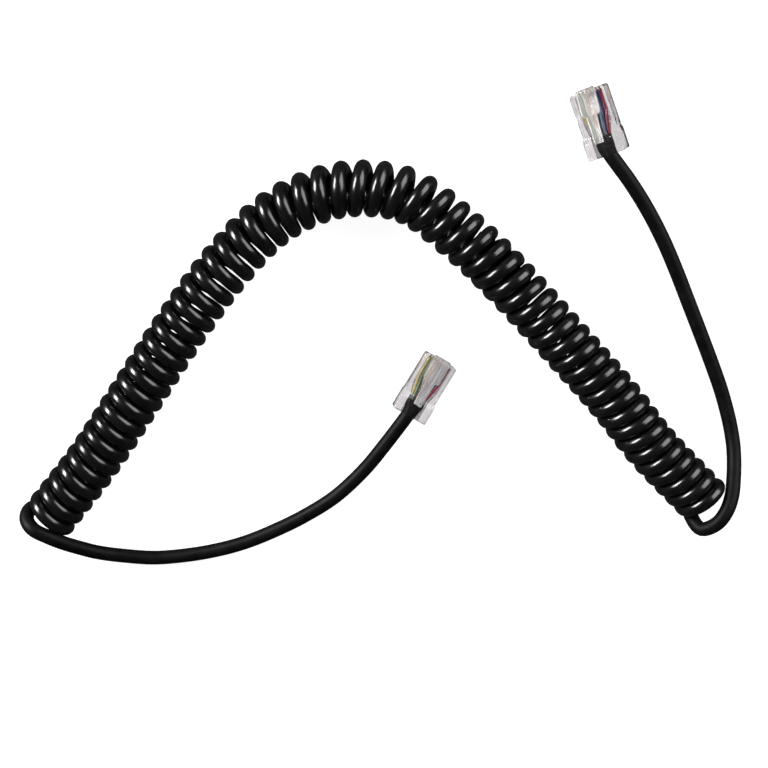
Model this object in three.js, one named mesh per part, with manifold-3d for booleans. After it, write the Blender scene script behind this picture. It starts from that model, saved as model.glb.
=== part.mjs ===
// Coiled microphone lead: a left-handed curly cord bent into an arch,
// with a clear 8-way modular plug on each end.
// Millimetres, +Z up, and the lead lies on z = 0. The origin is under the middle of the two plugs.
import * as THREE from "three";
import { mergeVertices } from "three/addons/utils/BufferGeometryUtils.js";
import Module from "manifold-3d";

const wasm = await Module();
wasm.setup();

// ---- driving dimensions ----

const CORD_DIAMETER = 4.8;
const COIL_DIAMETER = 18.4;
const GAP = 0.3; // between pieces that would touch

// A plug's own frame: x across it, y towards the nose, z up through the latch, z = 0 on the contact side.
const PLUG = { width: 11.68, length: 21.46, height: 6.6, rearHeight: 8, noseChamfer: 0.5 };
const NOSE = 11;
const REAR = NOSE - PLUG.length;
const SHOULDER = { y: -3.6, widening: 0.25, rampLength: 1.4 };
const CORD_HOLE = { width: 6.8, bottom: 0.9, top: 6.4, front: -3.9 };
const WIRE_BAY = { width: 8.9, bottom: 2.5, top: 4.1, front: 10.1 };
const JACKET_Z = 3.6; // height of the cord's centre line in the plug
const WAYS = 8;
const PITCH = 1.02;
const SLOT = { width: 0.56, back: 4.9 };
const OVERCUT = 0.4; // how far a slot or window reaches into the space above it
const BLADE = {
  width: 0.34,
  back: 5.3,
  front: 10.6,
  bottom: 0.4,
  shoulder: 1.7,
  tip: 2.45,
  toothLength: 1.2,
};
// The wires leave the jacket at fanPitch and fanZ, and reach the contacts' pitch at fanEnd.
const WIRE = {
  diameter: 0.94,
  z: 3.25,
  back: -3.5,
  front: 9.7,
  fanEnd: 3.4,
  fanPitch: 0.99,
  fanZ: 3.5,
};
const JACKET_CLAMP = { width: 6, back: -8.4, front: -5.6, bottom: 0.15, top: 0.9 };
const WIRE_CLAMP = { width: 8, back: -0.6, front: 1.2, bottom: 0.3, top: 2.4 };
const LATCH = {
  rootWidth: 6,
  leverWidth: 3.3,
  tipWidth: 2.7,
  overhang: 0.8, // the root stands this far in front of the nose
  rootTop: 8.5,
  wideEnd: 3.6,
  tip: -5.6,
  tipTop: 11.7,
  thickness: 1.15,
};

const CLEAR = new THREE.MeshStandardMaterial({ color: 0xd9dcdd, roughness: 0.12, metalness: 0 });
const JACKET = new THREE.MeshStandardMaterial({ color: 0x0b0b0c, roughness: 0.22, metalness: 0 });
const GOLD = new THREE.MeshStandardMaterial({ color: 0xc99a3f, roughness: 0.3, metalness: 1 });
// Way 1 is on the right, seen from the latch side with the nose up.
const WIRE_COLOURS = [0xa81f2c, 0x23418c, 0x7d8ea3, 0x141416, 0xa85a26, 0xe6e4dc, 0x2f8a4b, 0xc9b83a];
const WIRES = WIRE_COLOURS.map(
  (color) => new THREE.MeshStandardMaterial({ color, roughness: 0.4, metalness: 0 }),
);

// ---- where the pieces lie ----

const DEGREES = Math.PI / 180;
// roll leans the latch sideways, pitch raises the rear, and yaw turns the nose away from +Y
const PLUG_A = { x: 29.1, y: 43.9, yaw: 21 * DEGREES, pitch: 0, roll: -24 * DEGREES };
const PLUG_B = { x: -27.6, y: -43.5, yaw: -31 * DEGREES, pitch: -5 * DEGREES, roll: 0 };

// The coil's axis from its left end (towards plug B) over the arch to its right end (towards plug A).
const COIL_ROUTE = [
  [-153.5, -86.2],
  [-138, -66.8],
  [-123, -45],
  [-108.6, -23.8],
  [-93.4, -3.6],
  [-77.8, 12.3],
  [-61.8, 20.7],
  [-47, 22.9],
  [-32.1, 20],
  [-18, 9.7],
  [-2, -5.1],
  [23.7, -32.8],
  [36.7, -47.5],
  [48.7, -62.5],
  [66.2, -80.4],
];
// Each tail's centre line from the coil's end to its plug.
const TAIL_A_ROUTE = [
  [63.3, -87.6, 10],
  [65.5, -89.7, 13.4],
  [69.8, -87.1, 15.8],
  [73, -82.8, 15.4],
  [75.1, -78.1, 13.2],
  [76.2, -73.5, 10.4],
  [76.9, -68.6, 7.6],
  [77, -63.2, 5.3],
  [76.3, -57.7, 3.7],
  [75, -52.1, 2.8],
  [72.4, -44, 2.45],
  [68.4, -34, 2.4],
  [64.1, -23.9, 2.4],
  [59.8, -14, 2.4],
  [55.4, -4, 2.6],
  [50.6, 5.8, 3.3],
  [45, 15.5, 4.1],
  [38.8, 24.5, 5.1],
];
const TAIL_B_ROUTE = [
  [-161.4, -83.4, 9.4],
  [-160.6, -86.4, 13],
  [-157.7, -89.1, 15.8],
  [-153.1, -91.8, 15.4],
  [-148.9, -94.6, 13.2],
  [-144.5, -97.4, 10],
  [-138.5, -100.4, 6.6],
  [-130.4, -102.5, 4],
  [-120.4, -103.6, 2.8],
  [-110, -102.9, 2.45],
  [-99.4, -101.1, 2.4],
  [-89, -98.2, 2.4],
  [-78.4, -93.8, 2.4],
  [-67.9, -88.4, 2.5],
  [-57.4, -81.4, 2.9],
  [-47.8, -72, 3.7],
  [-40.3, -62.4, 4.8],
];

// ---- helpers ----

function solidOf(geometry) {
  const bare = geometry.index ? geometry.toNonIndexed() : geometry.clone();
  bare.deleteAttribute("normal");
  bare.deleteAttribute("uv");
  const merged = mergeVertices(bare, 1e-4);
  const mesh = new wasm.Mesh({
    numProp: 3,
    vertProperties: merged.attributes.position.array,
    triVerts: new Uint32Array(merged.index.array),
  });
  return new wasm.Manifold(mesh);
}

function geometryOf(solid) {
  const { vertProperties, triVerts } = solid.getMesh();
  const geometry = new THREE.BufferGeometry();
  geometry.setAttribute("position", new THREE.BufferAttribute(vertProperties, 3));
  geometry.setIndex(new THREE.BufferAttribute(triVerts, 1));
  const faceted = geometry.toNonIndexed();
  faceted.computeVertexNormals();
  return faceted;
}

// A box from its lowest to its highest corner.
function box(x0, x1, y0, y1, z0, z1) {
  const geometry = new THREE.BoxGeometry(x1 - x0, y1 - y0, z1 - z0);
  geometry.translate((x0 + x1) / 2, (y0 + y1) / 2, (z0 + z1) / 2);
  return geometry;
}

// A box centred across the plug.
function slab(width, y0, y1, z0, z1) {
  return box(-width / 2, width / 2, y0, y1, z0, z1);
}

// A side view, as [y, z] corners in anticlockwise order, made width thick across x and centred on x = at.
function fromSide(outline, width, at = 0) {
  const shape = new THREE.Shape(outline.map(([y, z]) => new THREE.Vector2(y, z)));
  const geometry = new THREE.ExtrudeGeometry(shape, { depth: width, bevelEnabled: false });
  const sideways = new THREE.Matrix4().makeBasis(
    new THREE.Vector3(0, 1, 0),
    new THREE.Vector3(0, 0, 1),
    new THREE.Vector3(1, 0, 0),
  );
  geometry.applyMatrix4(sideways);
  geometry.translate(at - width / 2, 0, 0);
  return geometry;
}

// A plan view, as [x, y] corners in anticlockwise order, from z0 up to z1.
function fromAbove(outline, z0, z1) {
  const shape = new THREE.Shape(outline.map(([x, y]) => new THREE.Vector2(x, y)));
  const geometry = new THREE.ExtrudeGeometry(shape, { depth: z1 - z0, bevelEnabled: false });
  geometry.translate(0, 0, z0);
  return geometry;
}

function curveThrough(points) {
  return new THREE.CatmullRomCurve3(
    points.map(([x, y, z]) => new THREE.Vector3(x, y, z)),
    false,
    "catmullrom",
    0.5,
  );
}

function tube(route, diameter, sides, steps) {
  const section = new THREE.Shape();
  for (let i = 0; i < sides; i += 1) {
    const angle = (i / sides) * 2 * Math.PI;
    const x = (diameter / 2) * Math.cos(angle);
    const y = (diameter / 2) * Math.sin(angle);
    if (i === 0) section.moveTo(x, y);
    else section.lineTo(x, y);
  }
  return new THREE.ExtrudeGeometry(section, { steps, extrudePath: route, bevelEnabled: false });
}

function wayX(way) {
  return ((WAYS + 1) / 2 - way) * PITCH;
}

function ways() {
  return Array.from({ length: WAYS }, (_, i) => i + 1);
}

// ---- the plug's pieces ----

function plugBody() {
  const chamfer = PLUG.noseChamfer;
  const half = PLUG.width / 2;
  const front = fromSide(
    [
      [REAR, 0],
      [NOSE - chamfer, 0],
      [NOSE, chamfer],
      [NOSE, PLUG.height],
      [REAR, PLUG.height],
    ],
    PLUG.width,
  );
  const rampStart = SHOULDER.y - SHOULDER.rampLength;
  const rear = fromSide(
    [
      [REAR, 0],
      [SHOULDER.y, 0],
      [SHOULDER.y, PLUG.height],
      [rampStart, PLUG.rearHeight],
      [REAR, PLUG.rearHeight],
    ],
    PLUG.width + 2 * SHOULDER.widening,
  );
  let body = solidOf(front).add(solidOf(rear));
  body = body.subtract(
    solidOf(slab(CORD_HOLE.width, REAR - 1, CORD_HOLE.front, CORD_HOLE.bottom, CORD_HOLE.top)),
  );
  body = body.subtract(
    solidOf(slab(WIRE_BAY.width, CORD_HOLE.front - 0.5, WIRE_BAY.front, WIRE_BAY.bottom, WIRE_BAY.top)),
  );
  for (const way of ways()) {
    const left = wayX(way) - SLOT.width / 2;
    const right = wayX(way) + SLOT.width / 2;
    const slot = box(left, right, SLOT.back, NOSE + 1, -1, WIRE_BAY.bottom + OVERCUT);
    body = body.subtract(solidOf(slot));
  }
  for (const clamp of [JACKET_CLAMP, WIRE_CLAMP]) {
    const space = clamp === JACKET_CLAMP ? CORD_HOLE : WIRE_BAY;
    const top = space.bottom + OVERCUT;
    const opening = slab(clamp.width + 2 * GAP, clamp.back - GAP, clamp.front + GAP, -1, top);
    body = body.subtract(solidOf(opening));
  }
  // the corners of the nose are cut back
  for (const side of [-1, 1]) {
    const corner = [
      [side * (half - chamfer), NOSE + 0.01],
      [side * (half + 0.01), NOSE - chamfer],
      [side * (half + 1), NOSE + 1],
    ];
    const outline = side > 0 ? corner : corner.reverse();
    body = body.subtract(solidOf(fromAbove(outline, -1, PLUG.height + 1)));
  }
  return geometryOf(body);
}

function contactBlade(way) {
  const { back, front, bottom, shoulder, tip, toothLength } = BLADE;
  return fromSide(
    [
      [back, bottom + 0.4],
      [back + 0.4, bottom],
      [front - 0.8, bottom],
      [front - 0.2, bottom + 0.25],
      [front, bottom + 0.9],
      [front, shoulder],
      [front - 0.6, tip],
      [front - toothLength, shoulder],
      [back + toothLength, shoulder],
      [back + 0.6, tip],
      [back, shoulder],
    ],
    BLADE.width,
    wayX(way),
  );
}

// A wire runs from the jacket's end, spreads to the contact pitch and ends under the nose.
function wire(way) {
  const fan = ((WAYS + 1) / 2 - way) * WIRE.fanPitch;
  const x = wayX(way);
  const route = curveThrough([
    [fan, WIRE.back, WIRE.fanZ],
    [fan, WIRE.back + 1.6, WIRE.fanZ],
    [x, WIRE.fanEnd, WIRE.z],
    [x, (WIRE.fanEnd + WIRE.front) / 2, WIRE.z],
    [x, WIRE.front, WIRE.z],
  ]);
  return tube(route, WIRE.diameter, 8, 8);
}

function clampBar({ width, back, front, bottom, top }) {
  return slab(width, back, front, bottom, top);
}

// The lever: a wide root at the nose, then a narrow tongue that rises to its tip.
function latch() {
  const { rootTop, overhang, wideEnd, tip, tipTop, thickness } = LATCH;
  const rootBottom = PLUG.height + GAP;
  const noseEnd = NOSE + overhang;
  const side = fromSide(
    [
      [noseEnd, rootBottom],
      [noseEnd, rootTop - 0.5],
      [noseEnd - 0.5, rootTop],
      [NOSE - 1, rootTop + 0.1],
      [tip, tipTop],
      [tip, tipTop - thickness],
      [NOSE - 2.6, rootBottom + 0.45],
      [NOSE - 1.2, rootBottom],
    ],
    LATCH.rootWidth + 1,
  );
  const root = LATCH.rootWidth / 2;
  const lever = LATCH.leverWidth / 2;
  const end = LATCH.tipWidth / 2;
  const plan = fromAbove(
    [
      [-end, tip - 1],
      [end, tip - 1],
      [lever, wideEnd - 0.6],
      [root, wideEnd],
      [root, noseEnd + 1],
      [-root, noseEnd + 1],
      [-root, wideEnd],
      [-lever, wideEnd - 0.6],
    ],
    0,
    tipTop + 2,
  );
  return geometryOf(solidOf(side).intersect(solidOf(plan)));
}

function piece(name, geometry, material) {
  const mesh = new THREE.Mesh(geometry, material);
  mesh.name = name;
  return mesh;
}

function plug(letter, place) {
  const group = new THREE.Group();
  const named = (name) => `plug_${letter}_${name}`;
  group.add(piece(named("body"), plugBody(), CLEAR));
  group.add(piece(named("latch"), latch(), CLEAR));
  group.add(piece(named("jacket_clamp"), clampBar(JACKET_CLAMP), CLEAR));
  group.add(piece(named("wire_clamp"), clampBar(WIRE_CLAMP), CLEAR));
  for (const way of ways()) {
    group.add(piece(named(`contact_${way}`), contactBlade(way), GOLD));
    group.add(piece(named(`wire_${way}`), wire(way), WIRES[way - 1]));
  }
  group.rotation.set(place.pitch, place.roll, place.yaw, "ZXY");
  group.position.set(place.x, place.y, 0);
  const bounds = new THREE.Box3().setFromObject(group, true);
  group.position.z = -bounds.min.z;
  return group;
}

// ---- the cord ----

// A point on the cord's centre line inside a plug, at the plug's own y.
function insidePlug(group, y) {
  group.updateMatrixWorld(true);
  const point = new THREE.Vector3(0, y, JACKET_Z).applyMatrix4(group.matrixWorld);
  return point.toArray();
}

function tail(name, route, group) {
  const inPlug = [REAR + 0.5, REAR + 4, CORD_HOLE.front - 0.6];
  const points = [...route, ...inPlug.map((y) => insidePlug(group, y))];
  return piece(name, tube(curveThrough(points), CORD_DIAMETER, 10, 60), JACKET);
}

function coil() {
  const axis = COIL_ROUTE.map(([x, y]) => [x, y, COIL_DIAMETER / 2]);
  return piece("coil", tube(curveThrough(axis), COIL_DIAMETER, 12, 40), JACKET);
}

const lead = new THREE.Group();
const plugA = plug("a", PLUG_A);
const plugB = plug("b", PLUG_B);
lead.add(plugA, plugB, coil());
lead.add(tail("tail_a", TAIL_A_ROUTE, plugA));
lead.add(tail("tail_b", TAIL_B_ROUTE, plugB));

export default lead;
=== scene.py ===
# A coiled microphone lead: a left-handed curly cord in an arch, with a clear 8-way plug on each end.
# The lead's own lengths are in millimetres, as in the CAD source, and its meshes are turned into metres as
# they are made. The camera, the studio and the textures are in metres.
import math

import bmesh
import bpy
import numpy as np
from mathutils import Matrix, Vector


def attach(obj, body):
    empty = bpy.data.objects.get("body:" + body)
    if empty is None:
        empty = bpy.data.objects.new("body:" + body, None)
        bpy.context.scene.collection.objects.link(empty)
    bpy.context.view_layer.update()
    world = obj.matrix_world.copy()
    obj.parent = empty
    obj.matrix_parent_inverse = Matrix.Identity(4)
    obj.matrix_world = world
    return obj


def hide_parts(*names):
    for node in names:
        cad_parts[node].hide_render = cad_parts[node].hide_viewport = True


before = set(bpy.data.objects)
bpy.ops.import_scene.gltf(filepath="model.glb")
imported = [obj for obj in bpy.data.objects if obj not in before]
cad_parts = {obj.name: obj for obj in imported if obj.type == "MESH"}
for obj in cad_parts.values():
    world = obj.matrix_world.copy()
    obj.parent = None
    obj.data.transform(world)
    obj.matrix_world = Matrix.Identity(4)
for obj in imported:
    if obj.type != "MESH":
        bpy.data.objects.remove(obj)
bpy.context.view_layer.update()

MM = 0.001

# ---- the camera ----

CAMERA_ELEVATION = math.radians(78.5)
CAMERA_DISTANCE = 0.4
CAMERA_TARGET = Vector((-0.0409, -0.0428, 0.0))
CAMERA_LENS = 55.4
SENSOR_WIDTH = 36.0


def add_camera():
    """Looks down from the +Y side, with +Y at the top of the picture."""
    data = bpy.data.cameras.new("camera")
    data.lens = CAMERA_LENS
    data.sensor_width = SENSOR_WIDTH
    camera = bpy.data.objects.new("camera", data)
    bpy.context.collection.objects.link(camera)
    right = Vector((1, 0, 0))
    up = Vector((0, math.sin(CAMERA_ELEVATION), -math.cos(CAMERA_ELEVATION)))
    back = Vector((0, math.cos(CAMERA_ELEVATION), math.sin(CAMERA_ELEVATION)))
    place = Matrix((right, up, back)).transposed().to_4x4()
    place.translation = CAMERA_TARGET + back * CAMERA_DISTANCE
    camera.matrix_world = place
    bpy.context.scene.camera = camera


# ---- dimensions ----

CORD_DIAMETER = 4.8
COIL_DIAMETER = 18.4
HELIX_RADIUS = (COIL_DIAMETER - CORD_DIAMETER) / 2
HELIX_TURNS = 58.5
HELIX_OVERRUN = 2.7  # the helix runs this far past each end of the coil's own route
RINGS_PER_TURN = 32
# How the turns are spread: a share of the coil's length, and the relative pitch there.
PITCHES = [
    (0, 5.4),
    (0.17, 5.45),
    (0.33, 5.75),
    (0.42, 6.1),
    (0.55, 6.5),
    (0.65, 5.8),
    (0.8, 5.3),
    (1, 5.1),
]
COIL_STEP = 0.5  # between the points of the coil's axis

# The coil's axis from its left end (towards plug B) over the arch to its right end (towards plug A).
COIL_ROUTE = [
    (-153.5, -86.2),
    (-138, -66.8),
    (-123, -45),
    (-108.6, -23.8),
    (-93.4, -3.6),
    (-77.8, 12.3),
    (-61.8, 20.7),
    (-47, 22.9),
    (-32.1, 20),
    (-18, 9.7),
    (-2, -5.1),
    (23.7, -32.8),
    (36.7, -47.5),
    (48.7, -62.5),
    (66.2, -80.4),
]
# Each tail's centre line from the coil's end to its plug.
TAIL_A_ROUTE = [
    (63.3, -87.6, 10),
    (65.5, -89.7, 13.4),
    (69.8, -87.1, 15.8),
    (73, -82.8, 15.4),
    (75.1, -78.1, 13.2),
    (76.2, -73.5, 10.4),
    (76.9, -68.6, 7.6),
    (77, -63.2, 5.3),
    (76.3, -57.7, 3.7),
    (75, -52.1, 2.8),
    (72.4, -44, 2.45),
    (68.4, -34, 2.4),
    (64.1, -23.9, 2.4),
    (59.8, -14, 2.4),
    (55.4, -4, 2.6),
    (50.6, 5.8, 3.3),
    (45, 15.5, 4.1),
    (38.8, 24.5, 5.1),
]
TAIL_B_ROUTE = [
    (-161.4, -83.4, 9.4),
    (-160.6, -86.4, 13),
    (-157.7, -89.1, 15.8),
    (-153.1, -91.8, 15.4),
    (-148.9, -94.6, 13.2),
    (-144.5, -97.4, 10),
    (-138.5, -100.4, 6.6),
    (-130.4, -102.5, 4),
    (-120.4, -103.6, 2.8),
    (-110, -102.9, 2.45),
    (-99.4, -101.1, 2.4),
    (-89, -98.2, 2.4),
    (-78.4, -93.8, 2.4),
    (-67.9, -88.4, 2.5),
    (-57.4, -81.4, 2.9),
    (-47.8, -72, 3.7),
    (-40.3, -62.4, 4.8),
]
TAIL_STEP = 1.2  # between the rings of a tail
CORD_SIDES = 24
# Each tail's curve is led into the helix by this many points of its first turn.
HELIX_GUIDES = 3
GUIDES_PER_TURN = 8
# It is led out of its plug by points on the plug's axis, this far in front of the plug's rear.
PLUG_GUIDES = (4, 0.5)

# A plug's own frame: x across it, y towards the nose, z up through the latch, z = 0 on the contact side.
WAYS = 8
PITCH = 1.02
WIDTH = 11.68
NOSE = 11.0
LENGTH = 21.46
REAR = NOSE - LENGTH
HEIGHT = 6.6
REAR_HEIGHT = 8.0
NOSE_CHAMFER = 0.5
SHOULDER_Y = -3.6
SHOULDER_WIDENING = 0.25
SHOULDER_RAMP = 1.4
SHOULDER_LIP = 0.1  # what is left of the shoulder's height at the foot of its ramp
SHOULDER_BLEND = 0.35  # the length over which that lip and the widening end
CUT_MARGIN = 1  # how far a cutting body stands out of the shell
CORD_HOLE = {"width": 6.8, "bottom": 0.9, "top": 6.4, "front": -3.9}
WIRE_BAY = {"width": 8.9, "bottom": 2.5, "top": 4.1, "front": 10.1}
FUNNEL_FRONT = 0.2  # where the cord hole has narrowed to the wire bay
SLOT = {"width": 0.56, "back": 4.9, "top": 2.9}
WINDOWS = [
    {"width": 6.6, "back": -8.7, "front": -5.3, "top": 1.3},
    {"width": 8.6, "back": -0.9, "front": 1.5, "top": 2.9},
]
JACKET_Z = 3.6
JACKET_END = -4.5
JACKET_FLATTENING = {"wide": 1.3, "high": 0.77, "start": -10.2, "full": -5.4}
FLATTENED_WITHIN = 12  # of a plug's axis; cord that passes further away keeps its shape
WIRE_DIAMETER = 0.94
WIRE_SIDES = 16
WIRE_STEP = 0.35
WIRE_FRONT = 9.7
WIRE_Z = 3.25
WIRE_START = -0.5  # from the jacket's end, so inside the jacket
WIRE_STRAIGHT = 0.9  # from the jacket's end to where the wires begin to spread
SPREAD_MIDDLE = 0.4  # how far the spread's middle point lies in front of halfway
INSULATION = 0.2
COPPER_DISH = -0.02
BUNDLE_PITCH = 0.68
BUNDLE_STAGGER = 0.42
SPREAD_END = 3.4
EDGE = 0.22
LATCH_EDGE = 0.16
CLAMP_EDGE = 0.08
CONTACT_EDGE = 0.04
LATCH = {
    "overhang": 0.8,  # the root stands this far in front of the nose
    "root_half": 3.0,
    "root_bottom": 6.9,
    "root_top": 8.6,
    "slope_start": 1.0,  # the top's slope up to the tip counts from this far behind the nose
    "level_end": 1.2,  # the root's underside is level to this far behind the nose
    "lip_length": 0.5,  # the root's front slopes down over this length,
    "lip_top": 0.1,  # from this far under its top
    "lip_front": 0.6,  # to this far under it
    "lever_half": 1.65,
    "tip_half": 1.35,
    "wide_end": 3.6,
    "narrow_start": 3.0,
    "bend": 8.4,  # the underside starts to rise here
    "bend_bottom": 7.35,
    "tip": -5.6,
    "tip_top": 11.7,
    "thickness": 1.15,
}
# Each plug's origin, and its turns in degrees. Roll leans the latch to the plug's right, then pitch
# raises the nose, then yaw turns the nose to the left.
PLUGS = {
    "a": {"at": (29.1, 43.9, 2.477), "yaw": 21, "pitch": 0, "roll": -24},
    "b": {"at": (-27.6, -43.5, 0.9151), "yaw": -31, "pitch": -5, "roll": 0},
}

# Way 1 is on the right, seen from the latch side with the nose up.
WIRE_COLOURS = [
    ("red", (0.2, 0.014, 0.035)),
    ("blue", (0.013, 0.024, 0.1)),
    ("grey_blue", (0.08, 0.11, 0.17)),
    ("black", (0.007, 0.007, 0.008)),
    ("brown", (0.24, 0.07, 0.015)),
    ("white", (0.5, 0.48, 0.43)),
    ("green", (0.1, 0.19, 0.11)),
    ("yellow", (0.42, 0.35, 0.12)),
]


# ---- node helpers ----


def new_material(name):
    material = bpy.data.materials.new(name)
    material.use_nodes = True
    tree = material.node_tree
    return material, tree, tree.nodes["Principled BSDF"]


def noise(tree, scale, detail=3.0):
    """Noise in the piece's own space, so that it moves with the piece. scale is in features per metre."""
    place = tree.nodes.new("ShaderNodeTexCoord")
    texture = tree.nodes.new("ShaderNodeTexNoise")
    texture.inputs["Scale"].default_value = scale
    texture.inputs["Detail"].default_value = detail
    tree.links.new(place.outputs["Object"], texture.inputs["Vector"])
    return texture.outputs["Fac"]


def between(tree, value, low, high):
    """Maps a 0 to 1 value on to the range from low to high."""
    node = tree.nodes.new("ShaderNodeMapRange")
    node.inputs["To Min"].default_value = low
    node.inputs["To Max"].default_value = high
    tree.links.new(value, node.inputs["Value"])
    return node.outputs["Result"]


def tinted(tree, value, dark, light):
    """Blends two colours by a 0 to 1 value."""
    ramp = tree.nodes.new("ShaderNodeValToRGB")
    ramp.color_ramp.elements[0].position = 0.3
    ramp.color_ramp.elements[0].color = (*dark, 1)
    ramp.color_ramp.elements[1].position = 0.7
    ramp.color_ramp.elements[1].color = (*light, 1)
    tree.links.new(value, ramp.inputs["Fac"])
    return ramp.outputs["Color"]


def bump(tree, shader, height, depth, strength):
    node = tree.nodes.new("ShaderNodeBump")
    node.inputs["Distance"].default_value = depth
    node.inputs["Strength"].default_value = strength
    tree.links.new(height, node.inputs["Height"])
    tree.links.new(node.outputs["Normal"], shader.inputs["Normal"])


def scaled(colour, factor):
    return tuple(min(1.0, c * factor) for c in colour)


# ---- materials ----


def jacket_material(name, smoothest, roughest, specular):
    """Black PVC with a faint orange peel and slightly uneven polish."""
    material, tree, shader = new_material(name)
    colour = tinted(tree, noise(tree, 260), (0.0015, 0.0015, 0.0018), (0.0045, 0.0045, 0.005))
    tree.links.new(colour, shader.inputs["Base Color"])
    tree.links.new(between(tree, noise(tree, 420), smoothest, roughest), shader.inputs["Roughness"])
    shader.inputs["IOR"].default_value = 1.52
    shader.inputs["Specular IOR Level"].default_value = specular
    bump(tree, shader, noise(tree, 2200, 5), 0.00005, 0.35)
    return material


# Lower than polycarbonate's own 1.58, at which the plugs' side walls render black.
CLEAR_IOR = 1.34


def clear_material(name, dark, light, smoothest, roughest, clarity):
    """Clear moulded polycarbonate. Lamps shine through it, so that what is inside is lit."""
    material, tree, shader = new_material(name)
    tree.links.new(tinted(tree, noise(tree, 300), dark, light), shader.inputs["Base Color"])
    tree.links.new(between(tree, noise(tree, 500), smoothest, roughest), shader.inputs["Roughness"])
    shader.inputs["IOR"].default_value = CLEAR_IOR
    shader.inputs["Transmission Weight"].default_value = clarity
    bump(tree, shader, noise(tree, 700), 0.00004, 0.2)
    light_path = tree.nodes.new("ShaderNodeLightPath")
    open_way = tree.nodes.new("ShaderNodeBsdfTransparent")
    open_way.inputs["Color"].default_value = (0.92, 0.91, 0.92, 1)
    mix = tree.nodes.new("ShaderNodeMixShader")
    tree.links.new(light_path.outputs["Is Shadow Ray"], mix.inputs["Fac"])
    tree.links.new(shader.outputs["BSDF"], mix.inputs[1])
    tree.links.new(open_way.outputs["BSDF"], mix.inputs[2])
    tree.links.new(mix.outputs["Shader"], tree.nodes["Material Output"].inputs["Surface"])
    return material


def gold_material():
    """Gold plating over phosphor bronze, with fine stamping grain."""
    material, tree, shader = new_material("contact_gold")
    colour = tinted(tree, noise(tree, 900), (0.62, 0.4, 0.13), (0.86, 0.62, 0.25))
    tree.links.new(colour, shader.inputs["Base Color"])
    tree.links.new(between(tree, noise(tree, 1600), 0.2, 0.42), shader.inputs["Roughness"])
    shader.inputs["Metallic"].default_value = 1.0
    bump(tree, shader, noise(tree, 3000), 0.00002, 0.3)
    return material


def copper_material():
    material, tree, shader = new_material("copper_strands")
    colour = tinted(tree, noise(tree, 4000), (0.5, 0.17, 0.07), (0.86, 0.42, 0.22))
    tree.links.new(colour, shader.inputs["Base Color"])
    shader.inputs["Roughness"].default_value = 0.35
    shader.inputs["Metallic"].default_value = 1.0
    return material


def wire_material(name, colour):
    """Semi-gloss wire insulation."""
    material, tree, shader = new_material("wire_" + name)
    mottled = tinted(tree, noise(tree, 800), scaled(colour, 0.85), scaled(colour, 1.12))
    tree.links.new(mottled, shader.inputs["Base Color"])
    tree.links.new(between(tree, noise(tree, 1500), 0.28, 0.45), shader.inputs["Roughness"])
    bump(tree, shader, noise(tree, 2500), 0.00002, 0.2)
    return material


# ---- mesh helpers ----


def add_object(name, mesh, material=None):
    obj = bpy.data.objects.new(name, mesh)
    bpy.context.collection.objects.link(obj)
    if material:
        mesh.materials.append(material)
    return obj


def shade_smooth(mesh, sharp_degrees):
    mesh.polygons.foreach_set("use_smooth", [True] * len(mesh.polygons))
    mesh.set_sharp_from_angle(angle=math.radians(sharp_degrees))


def spline(points, step):
    """Points about step apart on the uniform Catmull-Rom curve through points, both ends included."""
    points = np.array(points, float)
    ends = np.vstack([2 * points[0] - points[1], points, 2 * points[-1] - points[-2]])
    made = []
    for i in range(len(points) - 1):
        a, b, c, d = ends[i : i + 4]
        count = max(2, math.ceil(np.linalg.norm(c - b) / step))
        for t in np.arange(count) / count:
            linear = (c - a) * t
            square = (2 * a - 5 * b + 4 * c - d) * t**2
            cube = (3 * b - a - 3 * c + d) * t**3
            made.append(0.5 * (2 * b + linear + square + cube))
    made.append(points[-1])
    return np.array(made)


def lengths_along(points):
    return np.concatenate([[0], np.cumsum(np.linalg.norm(np.diff(points, axis=0), axis=1))])


def unit(vectors):
    return vectors / np.linalg.norm(vectors, axis=-1, keepdims=True)


def ring_frames(path):
    """Two unit vectors across the path at each of its points, carried along it without twist."""
    tangents = unit(np.gradient(path, axis=0))
    not_along_path = [0.3, 0.2, 1.0]
    side = unit(np.cross(tangents[0], not_along_path))
    sides = [side]
    for tangent in tangents[1:]:
        side = unit(side - tangent * np.dot(side, tangent))
        sides.append(side)
    sides = np.array(sides)
    return sides, np.cross(tangents, sides)


def tube_mesh(name, path, radius, sides, shape=None):
    """A closed round tube along path. shape, if given, maps (ring number, offsets) to new offsets."""
    across, up = ring_frames(path)
    angles = np.arange(sides) / sides * 2 * math.pi
    vertices = []
    for i, centre in enumerate(path):
        offsets = radius * (np.cos(angles)[:, None] * across[i] + np.sin(angles)[:, None] * up[i])
        if shape:
            offsets = shape(i, offsets)
        vertices.extend((centre + offsets).tolist())
    faces = []
    for i in range(len(path) - 1):
        for k in range(sides):
            a = i * sides + k
            b = i * sides + (k + 1) % sides
            faces.append((a, b, b + sides, a + sides))
    last = (len(path) - 1) * sides
    faces.append(tuple(range(sides - 1, -1, -1)))
    faces.append(tuple(range(last, last + sides)))
    mesh = bpy.data.meshes.new(name)
    mesh.from_pydata(vertices, [], faces)
    return mesh


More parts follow.
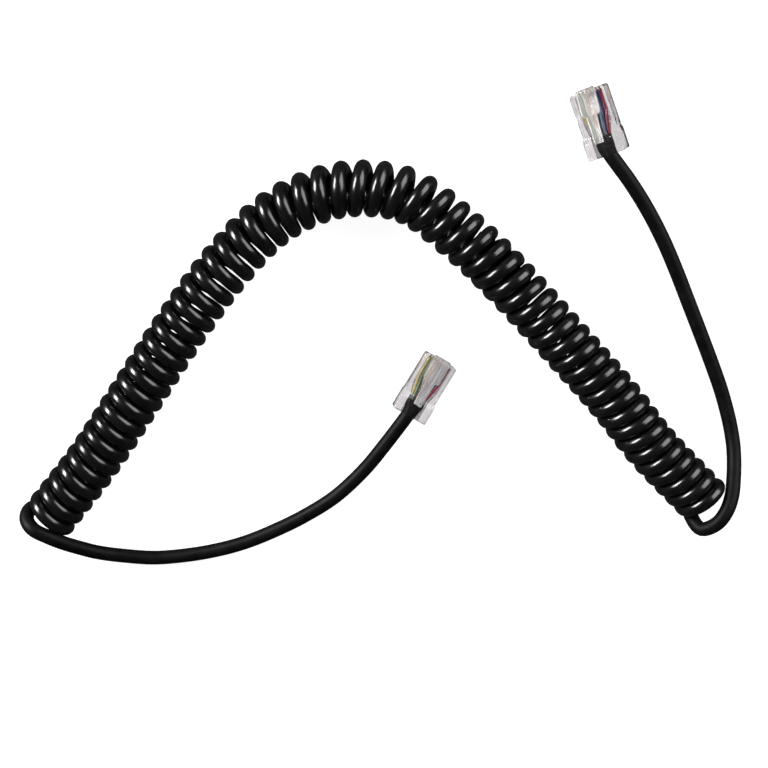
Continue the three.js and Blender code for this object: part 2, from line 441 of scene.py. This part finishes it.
def box_mesh(name, stations):
    """A closed body through rectangles: each station is y, half width, bottom and top."""
    vertices = []
    for y, half, bottom, top in stations:
        vertices += [(-half, y, bottom), (half, y, bottom), (half, y, top), (-half, y, top)]
    faces = [(0, 1, 2, 3)]
    for i in range(len(stations) - 1):
        for k in range(4):
            a = 4 * i + k
            b = 4 * i + (k + 1) % 4
            faces.append((a, a + 4, b + 4, b))
    last = 4 * (len(stations) - 1)
    faces.append((last + 3, last + 2, last + 1, last))
    mesh = bpy.data.meshes.new(name)
    mesh.from_pydata(vertices, [], faces)
    edit = bmesh.new()
    edit.from_mesh(mesh)
    bmesh.ops.recalc_face_normals(edit, faces=edit.faces)
    edit.to_mesh(mesh)
    edit.free()
    return mesh


def rounded(obj, width, segments):
    modifier = obj.modifiers.new("edges", "BEVEL")
    modifier.width = width
    modifier.segments = segments
    modifier.limit_method = "ANGLE"
    modifier.angle_limit = math.radians(30)


def settled(obj):
    """Applies the object's modifiers to its mesh."""
    graph = bpy.context.evaluated_depsgraph_get()
    mesh = bpy.data.meshes.new_from_object(obj.evaluated_get(graph))
    obj.modifiers.clear()
    obj.data = mesh
    return obj


def cut(obj, stations, x=0.0):
    """Cuts a body made of stations, centred on x, out of the object."""
    cutter = add_object("cutter", box_mesh("cutter", stations))
    cutter.data.transform(Matrix.Translation((x, 0, 0)))
    modifier = obj.modifiers.new("cut", "BOOLEAN")
    modifier.operation = "DIFFERENCE"
    modifier.solver = "EXACT"
    modifier.object = cutter
    settled(obj)
    bpy.data.objects.remove(cutter)


def straight(half, y0, y1, bottom, top):
    return [(y0, half, bottom, top), (y1, half, bottom, top)]


def plug_matrix(letter):
    """From a plug's own frame in millimetres to the part's frame in metres."""
    plug = PLUGS[letter]
    turn = (
        Matrix.Rotation(math.radians(plug["yaw"]), 4, "Z")
        @ Matrix.Rotation(math.radians(plug["pitch"]), 4, "X")
        @ Matrix.Rotation(math.radians(plug["roll"]), 4, "Y")
    )
    return Matrix.Translation(Vector(plug["at"]) * MM) @ turn @ Matrix.Scale(MM, 4)


def way_x(way):
    return ((WAYS + 1) / 2 - way) * PITCH


# ---- the cord ----


def in_plug(letter, y):
    """A point of the cord's centre line inside a plug, in millimetres in the part's frame."""
    return tuple(plug_matrix(letter) @ Vector((0, y, JACKET_Z)) / MM)


def coil_axis():
    axis = spline([(x, y, COIL_DIAMETER / 2) for x, y in COIL_ROUTE], COIL_STEP)
    first = axis[0] - unit(axis[1] - axis[0]) * HELIX_OVERRUN
    last = axis[-1] + unit(axis[-1] - axis[-2]) * HELIX_OVERRUN
    return np.vstack([first, axis, last])


def helix():
    """The centre line of the left-handed turns, from the coil's left end to its right end."""
    axis = coil_axis()
    along = lengths_along(axis)
    pitch = np.interp(along / along[-1], [s for s, _ in PITCHES], [p for _, p in PITCHES])
    steps = np.diff(along) * (1 / pitch[1:] + 1 / pitch[:-1]) / 2
    turns = np.concatenate([[0], np.cumsum(steps)])
    turns *= HELIX_TURNS / turns[-1]
    count = int(HELIX_TURNS * RINGS_PER_TURN)
    wanted = np.linspace(0, HELIX_TURNS, count + 1)
    at = np.interp(wanted, turns, along)
    centre = np.stack([np.interp(at, along, axis[:, k]) for k in range(3)], axis=1)
    slopes = np.gradient(axis, along, axis=0)
    tangent = unit(np.stack([np.interp(at, along, slopes[:, k]) for k in range(3)], axis=1))
    up = np.array([0, 0, 1.0])
    outward = np.cross(up, tangent)
    angle = -2 * math.pi * wanted[:, None]
    return centre + HELIX_RADIUS * (np.cos(angle) * outward + np.sin(angle) * up)


def tail(route, letter, turn_points):
    """From inside the plug to the helix. The helix's end stands for the route's first point."""
    inside = [in_plug(letter, y) for y in (JACKET_END, *(REAR + forward for forward in PLUG_GUIDES))]
    points = inside + list(reversed(route[1:])) + [tuple(p) for p in turn_points]
    made = spline(points, TAIL_STEP)
    nearest = int(np.argmin(np.linalg.norm(made - turn_points[0], axis=1)))
    return made[:nearest]


def cord_path():
    """The centre line from inside plug A to inside plug B, and where in it the turns start and end."""
    turns = helix()
    guide = RINGS_PER_TURN // GUIDES_PER_TURN
    backwards = turns[::-1]
    tail_a = tail(TAIL_A_ROUTE, "a", backwards[::guide][:HELIX_GUIDES])
    tail_b = tail(TAIL_B_ROUTE, "b", turns[::guide][:HELIX_GUIDES])
    turn_rings = (len(tail_a), len(tail_a) + len(turns))
    return np.vstack([tail_a, backwards, tail_b[::-1]]), turn_rings


def flattened(path):
    """A shape function for tube_mesh: the clamps press the cord wide and flat inside each plug."""
    wide = JACKET_FLATTENING["wide"] - 1
    high = JACKET_FLATTENING["high"] - 1
    start = JACKET_FLATTENING["start"]
    full = JACKET_FLATTENING["full"]
    presses = []
    for letter in PLUGS:
        matrix = plug_matrix(letter)
        inverse = matrix.inverted()
        x_axis = np.array((matrix.to_3x3() @ Vector((1, 0, 0))).normalized())
        z_axis = np.array((matrix.to_3x3() @ Vector((0, 0, 1))).normalized())
        depth = [(inverse @ (Vector(p) * MM)).y for p in path]
        near = [(inverse @ (Vector(p) * MM)).xz.length < FLATTENED_WITHIN for p in path]
        presses.append((x_axis, z_axis, depth, near))

    def shape(i, offsets):
        for x_axis, z_axis, depth, near in presses:
            if near[i] and depth[i] > start:
                share = min(1, (depth[i] - start) / (full - start))
                share = share * share * (3 - 2 * share)
                offsets = offsets + share * wide * (offsets @ x_axis)[:, None] * x_axis
                offsets = offsets + share * high * (offsets @ z_axis)[:, None] * z_axis
        return offsets

    return shape


def add_cord(coiled, straight_run):
    """The whole cord as one tube. The skin of its straight runs is duller than that of its turns."""
    path, turn_rings = cord_path()
    mesh = tube_mesh("cord", path, CORD_DIAMETER / 2, CORD_SIDES, flattened(path))
    mesh.transform(Matrix.Scale(MM, 4))
    shade_smooth(mesh, 50)
    mesh.materials.append(coiled)
    mesh.materials.append(straight_run)
    for face in mesh.polygons:
        ring = min(face.vertices) // CORD_SIDES
        face.material_index = 0 if turn_rings[0] <= ring < turn_rings[1] else 1
    cord = add_object("cord", mesh)
    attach(cord, "lead")
    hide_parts("coil", "tail_a", "tail_b")
    return cord, path * MM


# ---- the plugs ----


def add_shell(letter, material):
    """The plug's clear body: a stepped block less its cord hole, wire bay, contact slots and windows."""
    name = f"plug_{letter}_shell"
    half = WIDTH / 2
    rear_half = half + SHOULDER_WIDENING
    ramp = SHOULDER_Y - SHOULDER_RAMP
    outer = [
        (REAR, rear_half, 0, REAR_HEIGHT),
        (ramp, rear_half, 0, REAR_HEIGHT),
        (SHOULDER_Y, rear_half, 0, HEIGHT + SHOULDER_LIP),
        (SHOULDER_Y + SHOULDER_BLEND, half, 0, HEIGHT),
        (NOSE - NOSE_CHAMFER, half, 0, HEIGHT),
        (NOSE, half - NOSE_CHAMFER, NOSE_CHAMFER, HEIGHT),
    ]
    shell = add_object(name, box_mesh(name, outer), material)
    rounded(shell, EDGE, 3)
    settled(shell)
    hole = CORD_HOLE
    bay = WIRE_BAY
    cavity = [
        (REAR - CUT_MARGIN, hole["width"] / 2, hole["bottom"], hole["top"]),
        (hole["front"], hole["width"] / 2, hole["bottom"], hole["top"]),
        (FUNNEL_FRONT, bay["width"] / 2, bay["bottom"], bay["top"]),
        (bay["front"], bay["width"] / 2, bay["bottom"], bay["top"]),
    ]
    cut(shell, cavity)
    for window in WINDOWS:
        opening = straight(window["width"] / 2, window["back"], window["front"], -CUT_MARGIN, window["top"])
        cut(shell, opening)
    for way in range(1, WAYS + 1):
        slot = straight(SLOT["width"] / 2, SLOT["back"], NOSE + CUT_MARGIN, -CUT_MARGIN, SLOT["top"])
        cut(shell, slot, way_x(way))
    shell.data.transform(plug_matrix(letter))
    shade_smooth(shell.data, 30)
    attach(shell, "lead")
    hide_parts(f"plug_{letter}_body")
    return shell


def latch_stations():
    """The latch from in front of the nose to its tip: y, half width, bottom and top."""
    latch = LATCH
    front = NOSE + latch["overhang"]
    slope_start = NOSE - latch["slope_start"]
    root_end = NOSE - latch["level_end"]
    root_half = latch["root_half"]
    root_bottom = latch["root_bottom"]
    root_top = latch["root_top"]

    def top(y):
        return float(np.interp(y, [latch["tip"], slope_start], [latch["tip_top"], root_top]))

    def bottom(y):
        heights = [latch["tip_top"] - latch["thickness"], latch["bend_bottom"], root_bottom]
        return float(np.interp(y, [latch["tip"], latch["bend"], root_end], heights))

    stations = [
        (front, root_half, root_bottom, root_top - latch["lip_front"]),
        (front - latch["lip_length"], root_half, root_bottom, root_top - latch["lip_top"]),
    ]
    widths = [
        (root_end, "root_half"),
        (latch["bend"], "root_half"),
        (latch["wide_end"], "root_half"),
        (latch["narrow_start"], "lever_half"),
        (latch["tip"], "tip_half"),
    ]
    for y, half in widths:
        stations.append((y, latch[half], bottom(y), top(y)))
    return stations


def add_lever(letter, material):
    name = f"plug_{letter}_lever"
    lever = add_object(name, box_mesh(name, latch_stations()), material)
    rounded(lever, LATCH_EDGE, 3)
    settled(lever)
    lever.data.transform(plug_matrix(letter))
    shade_smooth(lever.data, 30)
    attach(lever, f"latch_{letter}")
    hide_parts(f"plug_{letter}_latch")
    return lever


def add_wire(letter, way, material, copper):
    """A wire from the jacket's end, spread to the contacts' pitch, with its bare end under the nose."""
    name = f"plug_{letter}_lead_{way}"
    bundle_x = ((WAYS + 1) / 2 - way) * BUNDLE_PITCH
    bundle_z = JACKET_Z + BUNDLE_STAGGER * (1 if way % 2 else -1)
    x = way_x(way)
    route = [
        (bundle_x, JACKET_END + WIRE_START, bundle_z),
        (bundle_x, JACKET_END + WIRE_STRAIGHT, bundle_z),
        ((bundle_x + x) / 2, (JACKET_END + SPREAD_END) / 2 + SPREAD_MIDDLE, (bundle_z + WIRE_Z) / 2),
        (x, SPREAD_END, WIRE_Z),
        (x, (SPREAD_END + WIRE_FRONT) / 2, WIRE_Z),
        (x, WIRE_FRONT, WIRE_Z),
    ]
    mesh = tube_mesh(name, spline(route, WIRE_STEP), WIRE_DIAMETER / 2, WIRE_SIDES)
    mesh.materials.append(material)
    mesh.materials.append(copper)
    edit = bmesh.new()
    edit.from_mesh(mesh)
    edit.faces.ensure_lookup_table()
    cap = edit.faces[-1]
    bmesh.ops.inset_region(edit, faces=[cap], thickness=INSULATION, depth=COPPER_DISH)
    cap.material_index = 1
    edit.to_mesh(mesh)
    edit.free()
    mesh.transform(plug_matrix(letter))
    shade_smooth(mesh, 40)
    wire = add_object(name, mesh)
    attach(wire, "lead")
    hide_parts(f"plug_{letter}_wire_{way}")
    return wire


def dress_node(node, material, edge):
    """Gives a CAD node its material and softened edges."""
    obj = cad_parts[node]
    obj.data.materials.clear()
    obj.data.materials.append(material)
    weld = obj.modifiers.new("join", "WELD")
    weld.merge_threshold = 1e-6
    rounded(obj, edge * MM, 2)
    return obj


def add_plug(letter, materials):
    pieces = [add_shell(letter, materials["clear"]), add_lever(letter, materials["clear_painted_highlight"])]
    for clamp in ("jacket_clamp", "wire_clamp"):
        pieces.append(dress_node(f"plug_{letter}_{clamp}", materials["clear"], CLAMP_EDGE))
    for way in range(1, WAYS + 1):
        pieces.append(dress_node(f"plug_{letter}_contact_{way}", materials["gold"], CONTACT_EDGE))
        pieces.append(add_wire(letter, way, materials["wires"][way - 1], materials["copper"]))
    return pieces


# ---- the studio ----

FLOOR_SIZE = 6.0
FLOOR_GLOW = 0.95
SOFTBOXES = [
    {"name": "left", "at": (-0.75, 0.36, 0.4), "size": (0.5, 0.3), "watts": 17},
    {"name": "right", "at": (0.6, 0.43, 0.42), "size": (0.8, 0.7), "watts": 10},
]
ROOM = {
    "direct": (0.93, 0.93, 0.94),
    "reflected": (0.055, 0.055, 0.057),
    "through_plastic": (0.45, 0.44, 0.45),
}
LIGHT_TARGET = Vector((-0.04, -0.03, 0.0))


def add_floor():
    half = FLOOR_SIZE / 2
    mesh = bpy.data.meshes.new("floor")
    corners = [(-half, -half, 0), (half, -half, 0), (half, half, 0), (-half, half, 0)]
    mesh.from_pydata(corners, [], [(0, 1, 2, 3)])
    material, tree, shader = new_material("floor_white")
    colour = tinted(tree, noise(tree, 4), (0.3, 0.3, 0.3), (0.32, 0.32, 0.32))
    tree.links.new(colour, shader.inputs["Base Color"])
    shader.inputs["Roughness"].default_value = 0.9
    shader.inputs["Emission Color"].default_value = (1, 1, 1, 1)
    shader.inputs["Emission Strength"].default_value = FLOOR_GLOW
    floor = add_object("floor", mesh, material)
    floor.visible_glossy = False  # so that its glow isn't mirrored along the cord's rims


def add_lights():
    for box in SOFTBOXES:
        data = bpy.data.lights.new(box["name"], "AREA")
        data.shape = "RECTANGLE"
        data.size, data.size_y = box["size"]
        data.energy = box["watts"]
        light = bpy.data.objects.new("softbox_" + box["name"], data)
        light.location = box["at"]
        aim = LIGHT_TARGET - Vector(box["at"])
        light.rotation_euler = aim.to_track_quat("-Z", "Y").to_euler()
        bpy.context.collection.objects.link(light)


def set_world():
    """A pale room that is dim in reflections and grey to rays that have passed through clear plastic."""
    world = bpy.data.worlds.new("studio")
    bpy.context.scene.world = world
    world.use_nodes = True
    tree = world.node_tree
    light_path = tree.nodes.new("ShaderNodeLightPath")
    shader = tree.nodes["Background"].outputs["Background"]
    tree.nodes["Background"].inputs["Color"].default_value = (*ROOM["reflected"], 1)
    for seen, ray in (("through_plastic", "Transmission Depth"), ("direct", "Is Camera Ray")):
        background = tree.nodes.new("ShaderNodeBackground")
        background.inputs["Color"].default_value = (*ROOM[seen], 1)
        mix = tree.nodes.new("ShaderNodeMixShader")
        tree.links.new(light_path.outputs[ray], mix.inputs["Fac"])
        tree.links.new(shader, mix.inputs[1])
        tree.links.new(background.outputs["Background"], mix.inputs[2])
        shader = mix.outputs["Shader"]
    tree.links.new(shader, tree.nodes["World Output"].inputs["Surface"])


# ---- the scene ----

add_camera()
coiled_skin = jacket_material("jacket_black", smoothest=0.15, roughest=0.28, specular=0.5)
straight_skin = jacket_material("jacket_straight", smoothest=0.42, roughest=0.56, specular=0.08)
cord, cord_line = add_cord(coiled_skin, straight_skin)
materials = {
    "clear": clear_material(
        "clear_polycarbonate",
        dark=(0.43, 0.415, 0.42),
        light=(0.52, 0.505, 0.51),
        smoothest=0.05,
        roughest=0.12,
        clarity=1.0,
    ),
    # The lever's copy of the shell's clear plastic: lighter and less clear, its pale tone is a painted
    # highlight on the latch.
    "clear_painted_highlight": clear_material(
        "polycarbonate_painted_highlight",
        dark=(0.66, 0.65, 0.63),
        light=(0.78, 0.77, 0.75),
        smoothest=0.08,
        roughest=0.16,
        clarity=0.88,
    ),
    "gold": gold_material(),
    "copper": copper_material(),
    "wires": [wire_material(name, colour) for name, colour in WIRE_COLOURS],
}
plug_pieces = {letter: add_plug(letter, materials) for letter in PLUGS}
add_floor()
add_lights()
set_world()
bpy.context.scene.view_settings.view_transform = "Standard"
